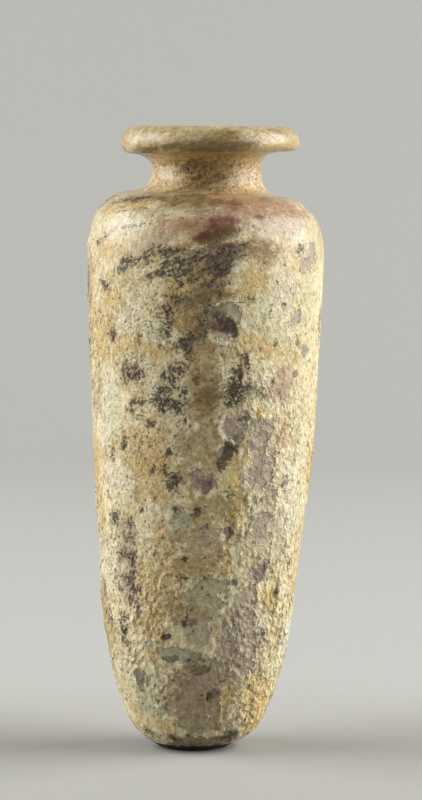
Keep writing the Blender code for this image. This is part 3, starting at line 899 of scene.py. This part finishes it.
    # painted shade: the bottom few mm of the outside turn nearly black, standing in for the contact shadow by
    # the floor, partly the dark glass of the foot
    below = ease(tree, plus(tree, f["underside"], around(tree, medium, 0.5)), 0.3, 0.6)
    colour = over(tree, below, toned.outputs[0], colours["darkGlassAndShade"])
    colour = over(tree, f["within"], colour, colours["inside"])
    feed(tree, shader.inputs["Base Color"], colour)

    shader.inputs["Specular IOR Level"].default_value = 0.45
    rough = blendValue(tree, layer["away"], sheen["crust"], sheen["bare"])
    rough = blendValue(tree, f["satin"], rough, sheen["satin"])
    rough = calc(tree, "ADD", rough, around(tree, layer["coarse"], sheen["swing"]), clamp=True)
    feed(tree, shader.inputs["Roughness"], rough)

    lively = blendValue(tree, layer["away"], 1.0, blendValue(tree, f["rough"], 0.5, 1.0))
    lively = times(tree, blendValue(tree, f["satin"], 1.0, 0.3), lively)
    height = around(tree, gritty, blendValue(tree, f["rough"], *wear["gritHigh"]))
    height = plus(tree, height, times(tree, crumbs, blendValue(tree, f["rough"], *wear["crumbHigh"])))
    height = plus(tree, layer["height"], times(tree, height, lively))
    bump = node(tree, "ShaderNodeBump")
    bump.inputs["Distance"].default_value = mm
    bump.inputs["Strength"].default_value = 1.0
    feed(tree, bump.inputs["Height"], times(tree, height, wear["bumpGain"]))
    feed(tree, shader.inputs["Normal"], bump.outputs[0])
    return material


def buildFlask():
    mesh = bpy.data.meshes.new("weatheredFlask")
    mesh.from_pydata((points * mm).tolist(), [], faces)
    mesh.validate()
    for name, values in fields.items():
        mesh.attributes.new(name, "FLOAT", "POINT").data.foreach_set("value", values.astype(np.float32))
    unworn = mesh.attributes.new("unworn", "FLOAT_VECTOR", "POINT")
    unworn.data.foreach_set("vector", (points * mm).astype(np.float32).ravel())
    raw = bpy.data.objects.new("turnedFlask", mesh)
    bpy.context.scene.collection.objects.link(raw)
    tree = reliefTree()
    relief = raw.modifiers.new("crust", "NODES")
    relief.node_group = tree
    sizes = {"Depth": mm, "Sunk": wear["sunk"], "Inside Depth": wear["insideShare"], "Finish": weatheredGlass()}
    for item in tree.interface.items_tree:
        if item.in_out == "INPUT" and item.name in sizes:
            relief[item.identifier] = sizes[item.name]
    graph = bpy.context.evaluated_depsgraph_get()
    plain = bpy.data.meshes.new_from_object(raw.evaluated_get(graph))
    bpy.data.objects.remove(raw)
    place = np.zeros(len(plain.vertices) * 3, np.float32)
    plain.vertices.foreach_get("co", place)
    place = place.reshape(-1, 3)
    low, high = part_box("unguentarium")
    place = np.clip(place, np.array(low, np.float32), np.array(high, np.float32))
    plain.vertices.foreach_set("co", place.ravel())
    plain.shade_smooth()
    made = bpy.data.objects.new("weatheredFlask", plain)
    bpy.context.scene.collection.objects.link(made)
    return made


weatheredFlask = buildFlask()
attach(weatheredFlask, "root")
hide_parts("unguentarium")
print("flask finished:", sum(len(p.vertices) - 2 for p in weatheredFlask.data.polygons), "triangles")


# Paper under and behind the flask, lamps and camera.
studio = dict(
    front=-1.6, flatTo=0.6, bend=0.6, wallTop=2.2, halfWide=2.6,
    paperShadowNear=paint(162, 161, 157),  # painted shadow under the flask and in front of it
    paperLow=paint(173, 173, 169),
    paperHigh=paint(172, 172, 168),
    shadowFade=(0.02, 0.095),  # m behind the flask, over which the painted shadow fades out and the paper turns paler
    fadeHigh=(0.1, 1.6),
    bendSteps=24,
    sky=0.09,
    lampTint=(1.0, 1.0, 0.985),
    lampAim=(0, 0, 0.06),
)


def paperSweep(s):
    line = [(s["front"], 0.0), (s["flatTo"], 0.0)]
    for i in range(1, s["bendSteps"] + 1):
        a = math.radians(90 * i / s["bendSteps"])
        line.append((s["flatTo"] + s["bend"] * math.sin(a), s["bend"] * (1 - math.cos(a))))
    line.append((line[-1][0], s["wallTop"]))
    corners = [(x, y, z) for y, z in line for x in (-s["halfWide"], s["halfWide"])]
    strips = [(2 * i, 2 * i + 1, 2 * i + 3, 2 * i + 2) for i in range(len(line) - 1)]
    mesh = bpy.data.meshes.new("paperSweep")
    mesh.from_pydata(corners, [], strips)
    mesh.shade_smooth()
    made = bpy.data.objects.new("paperSweep", mesh)
    bpy.context.scene.collection.objects.link(made)
    paper = bpy.data.materials.new("palePaper")
    paper.use_nodes = True
    tree = paper.node_tree
    shader = tree.nodes["Principled BSDF"]
    depth = node(tree, "ShaderNodeSeparateXYZ")
    feed(tree, depth.inputs[0], node(tree, "ShaderNodeTexCoord").outputs["Object"])
    rise = plus(tree, depth.outputs["Y"], depth.outputs["Z"])
    shade = over(tree, ease(tree, rise, *s["fadeHigh"]), s["paperLow"], s["paperHigh"])
    # painted shadow: the paper is darker from just behind the flask forward
    shade = over(tree, ease(tree, rise, *s["shadowFade"]), s["paperShadowNear"], shade)
    feed(tree, shader.inputs["Base Color"], shade)
    shader.inputs["Roughness"].default_value = 0.85
    mesh.materials.append(paper)


paperSweep(studio)

softboxes = dict(  # degrees round from the camera, distance, height, the panel's two sides, power
    left=(-91, 1.0, 0.53, 1.3, 1.0, 21.5),
    right=(90, 1.0, 0.53, 1.3, 1.0, 26.0),
)
for name, (turn, away, up, wide, tall, power) in softboxes.items():
    lamp = bpy.data.lights.new(name + "Softbox", "AREA")
    lamp.shape = "RECTANGLE"
    lamp.size, lamp.size_y = wide, tall
    lamp.energy = power
    lamp.color = studio["lampTint"]
    made = bpy.data.objects.new(name + "Softbox", lamp)
    a = math.radians(turn)
    made.location = (away * math.sin(a), -away * math.cos(a), up)
    made.rotation_euler = (Vector(studio["lampAim"]) - made.location).to_track_quat("-Z", "Y").to_euler()
    bpy.context.scene.collection.objects.link(made)

world = bpy.data.worlds.new("studio")
world.use_nodes = True
world.node_tree.nodes["Background"].inputs["Color"].default_value = (1.0, 1.0, 0.99, 1.0)
world.node_tree.nodes["Background"].inputs["Strength"].default_value = studio["sky"]
bpy.context.scene.world = world
bpy.context.scene.view_settings.view_transform = "Standard"

view = dict(place=(0.001, -0.7, 0.117), aim=(0.001, 0.0, 0.0672), lens=163.9, sensor=36.0)
camera = bpy.data.objects.new("camera", bpy.data.cameras.new("camera"))
camera.location = view["place"]
camera.rotation_euler = (Vector(view["aim"]) - camera.location).to_track_quat("-Z", "Y").to_euler()
camera.data.lens = view["lens"]
camera.data.sensor_width = view["sensor"]
camera.data.clip_start = 0.01
bpy.context.scene.collection.objects.link(camera)
bpy.context.scene.camera = camera
print("studio set")
